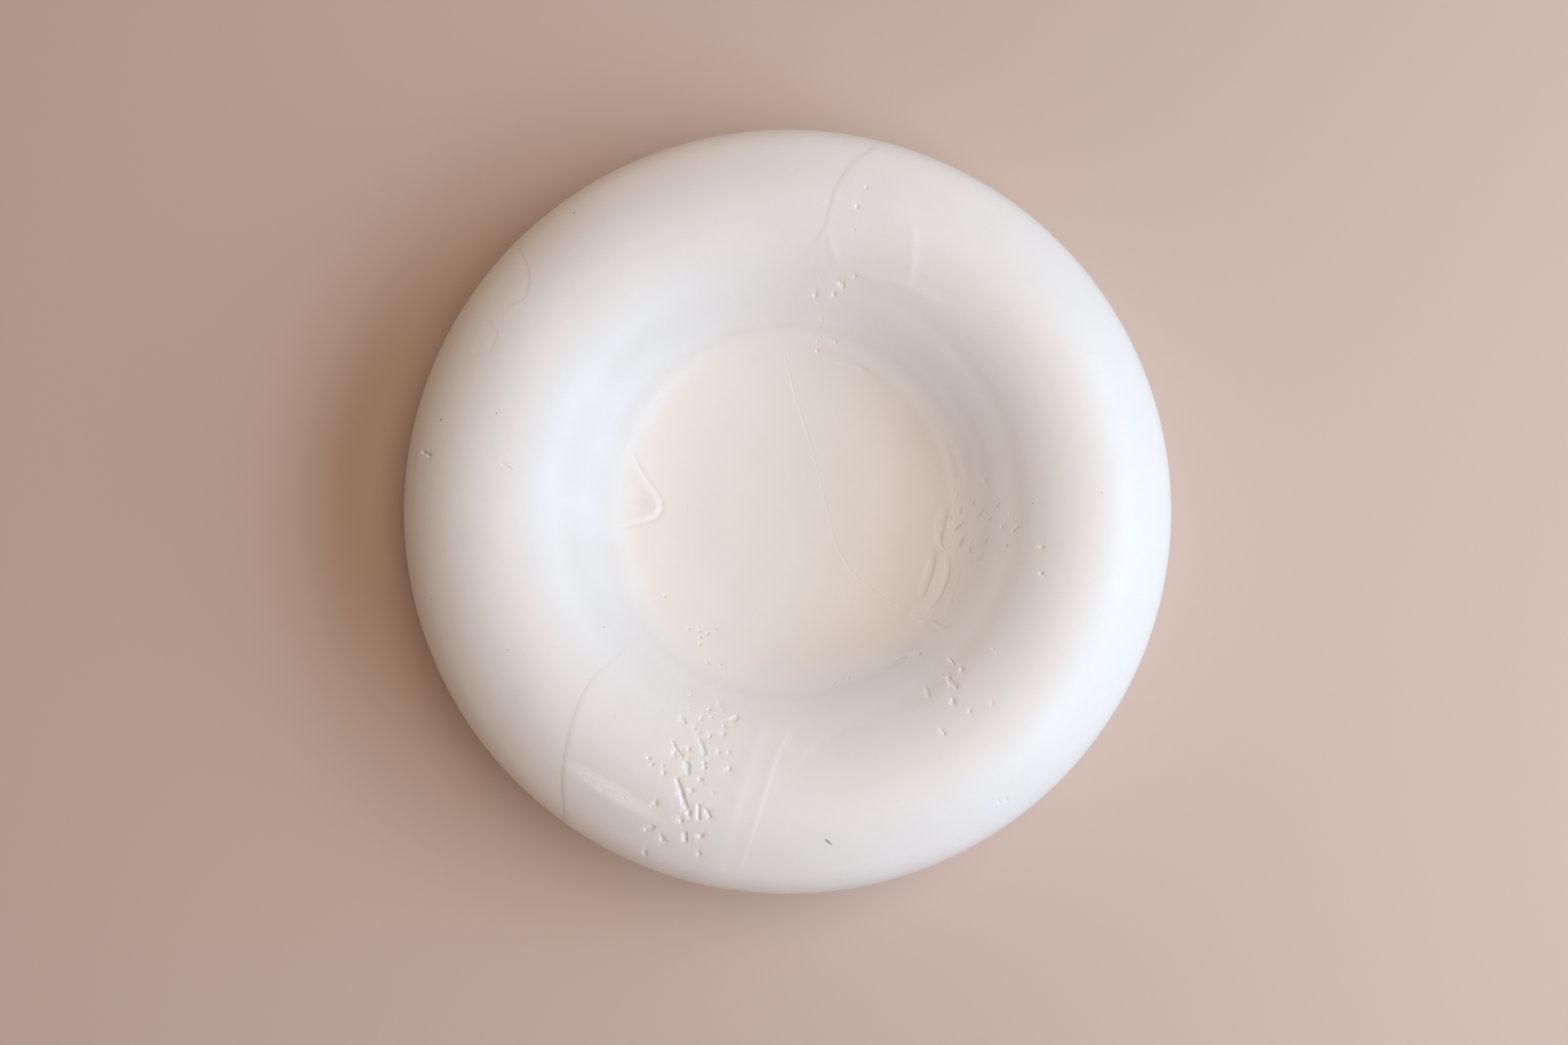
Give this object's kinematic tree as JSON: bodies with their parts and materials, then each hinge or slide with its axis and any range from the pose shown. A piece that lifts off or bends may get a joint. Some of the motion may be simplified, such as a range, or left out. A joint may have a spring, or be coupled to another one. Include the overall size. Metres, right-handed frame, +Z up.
{
  "type": "plaster slump mold",
  "caption": "Heavy round plaster slump mold with a fat rounded rim around a shallow dished well, sealed with overlapping white slip coats.",
  "frame": {"origin": "centre of the flat base, at the height of the surface the mold stands on", "axes": "+Z up along the turning axis, out of the well; +X towards the side that only the second coat covers"},
  "size_m": [0.28, 0.2801, 0.0672],
  "materials": {
    "white_slip": "satin",
    "face_plaster": "matte",
    "backing_plaster": "matte",
    "jute_scrim": "matte",
    "galvanised_wire": "satin"
  },
  "bodies": {
    "root": {"well_floor": "face_plaster", "rim_face": "face_plaster", "floor_scrim": "jute_scrim", "floor_backing": "backing_plaster", "rim_core": "backing_plaster", "crest_hoop": "galvanised_wire", "girth_hoop": "galvanised_wire", "first_coat": "white_slip", "second_coat": "white_slip"}
  },
  "joints": []
}
